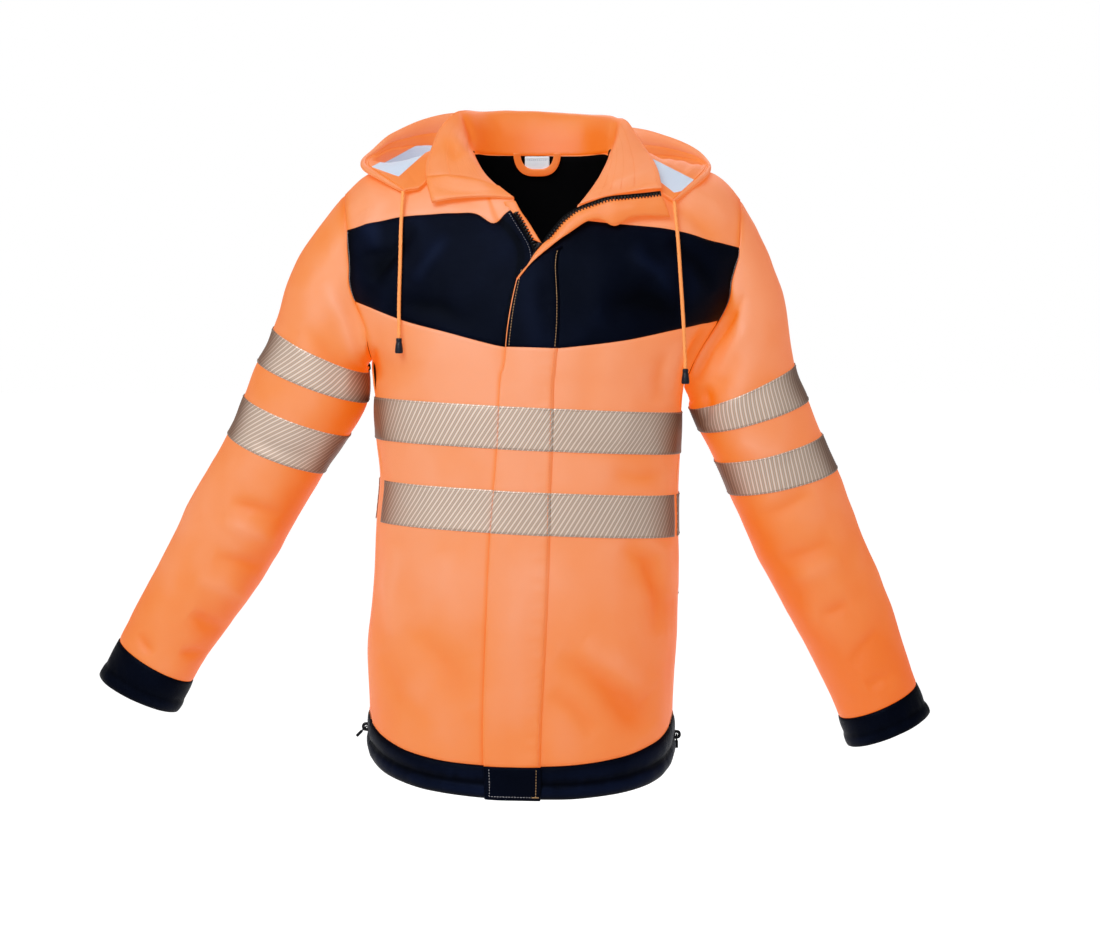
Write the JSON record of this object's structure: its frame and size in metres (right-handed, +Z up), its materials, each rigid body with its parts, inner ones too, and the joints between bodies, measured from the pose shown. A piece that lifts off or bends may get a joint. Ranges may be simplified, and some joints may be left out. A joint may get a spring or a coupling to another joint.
{
  "type": "hi-vis work jacket",
  "caption": "Hi-vis orange and navy hooded work jacket, filled out and hollow, collar open, with reflective tape, storm flap over a front zip and side vent zips.",
  "frame": {"origin": "middle of the neck opening on the shoulder line's plane, 38 mm below the ends of the neck's shoulder seams; the wearer's shoulders and neck carry the jacket there", "axes": "+Z up, -Y out of the front closing, +X towards the wearer's left arm"},
  "size_m": [1.0166, 0.3431, 0.8241],
  "materials": {
    "orange_cloth": "soft sheen, plain woven hi-vis shell cloth",
    "navy_cloth": "soft sheen, plain woven shell cloth",
    "black_lining": "matte quilted lining",
    "reflective_tape": "satin segmented reflective tape with fine slanting stripes",
    "pale_mesh": "matte knitted mesh",
    "black_zip": "moulded teeth on woven tape",
    "dark_metal": "semi-gloss",
    "white_label": "matte woven, blank",
    "orange_cord": "braided",
    "black_plastic": "moulded"
  },
  "bodies": {
    "jacket": {"back_panel": "orange_cloth", "collar": "orange_cloth", "collar_guard": "orange_cloth", "cord_end_left": "black_plastic", "cord_end_right": "black_plastic", "cord_left": "orange_cord", "cord_right": "orange_cord", "cuff_left": "navy_cloth", "cuff_right": "navy_cloth", "flap_facing": "orange_cloth", "flap_navy": "navy_cloth", "flap_orange": "orange_cloth", "flap_piping": "orange_cloth", "flap_tab": "navy_cloth", "front_left_panel": "orange_cloth", "front_right_panel": "orange_cloth", "hang_loop": "orange_cloth", "hem_band_back": "navy_cloth", "hem_band_left": "navy_cloth", "hem_band_right": "navy_cloth", "hood_lining": "pale_mesh", "hood_rim": "orange_cloth", "hood_shell": "orange_cloth", "label": "white_label", "main_slider": "dark_metal", "shoulder_left": "orange_cloth", "shoulder_right": "orange_cloth", "sleeve_left": "orange_cloth", "sleeve_left_tape_lower": "reflective_tape", "sleeve_left_tape_upper": "reflective_tape", "sleeve_right": "orange_cloth", "sleeve_right_tape_lower": "reflective_tape", "sleeve_right_tape_upper": "reflective_tape", "tape_lower_back": "reflective_tape", "tape_lower_flap": "reflective_tape", "tape_lower_left": "reflective_tape", "tape_lower_right": "reflective_tape", "tape_upper_back": "reflective_tape", "tape_upper_flap": "reflective_tape", "tape_upper_left": "reflective_tape", "tape_upper_right": "reflective_tape", "upper_lining": "black_lining", "vent_left_slider": "dark_metal", "vent_right_slider": "dark_metal", "vent_zip_left": "black_zip", "vent_zip_right": "black_zip", "yoke_left": "navy_cloth", "yoke_right": "navy_cloth", "zip_guard": "orange_cloth", "zip_left": "black_zip", "zip_right": "black_zip"},
    "main_pull": {"main_pull": "dark_metal"},
    "vent_left_pull": {"vent_left_pull": "dark_metal"},
    "vent_right_pull": {"vent_right_pull": "dark_metal"}
  },
  "joints": [
    {"name": "main_pull_hinge", "type": "hinge", "parent": "jacket", "child": "main_pull", "pos_m": [-0.00201, -0.11799, -0.0787], "axis": [-0.8858, 0.1388, 0.4429], "range_deg": [0, 120]},
    {"name": "vent_left_pull_hinge", "type": "hinge", "parent": "jacket", "child": "vent_left_pull", "pos_m": [0.16568, 0.00558, -0.67131], "axis": [0.0265, -0.9996, 0], "range_deg": [0, 120]},
    {"name": "vent_right_pull_hinge", "type": "hinge", "parent": "jacket", "child": "vent_right_pull", "pos_m": [-0.21368, 0.00559, -0.66178], "axis": [0.0267, 0.9996, 0], "range_deg": [-45, 75]}
  ]
}
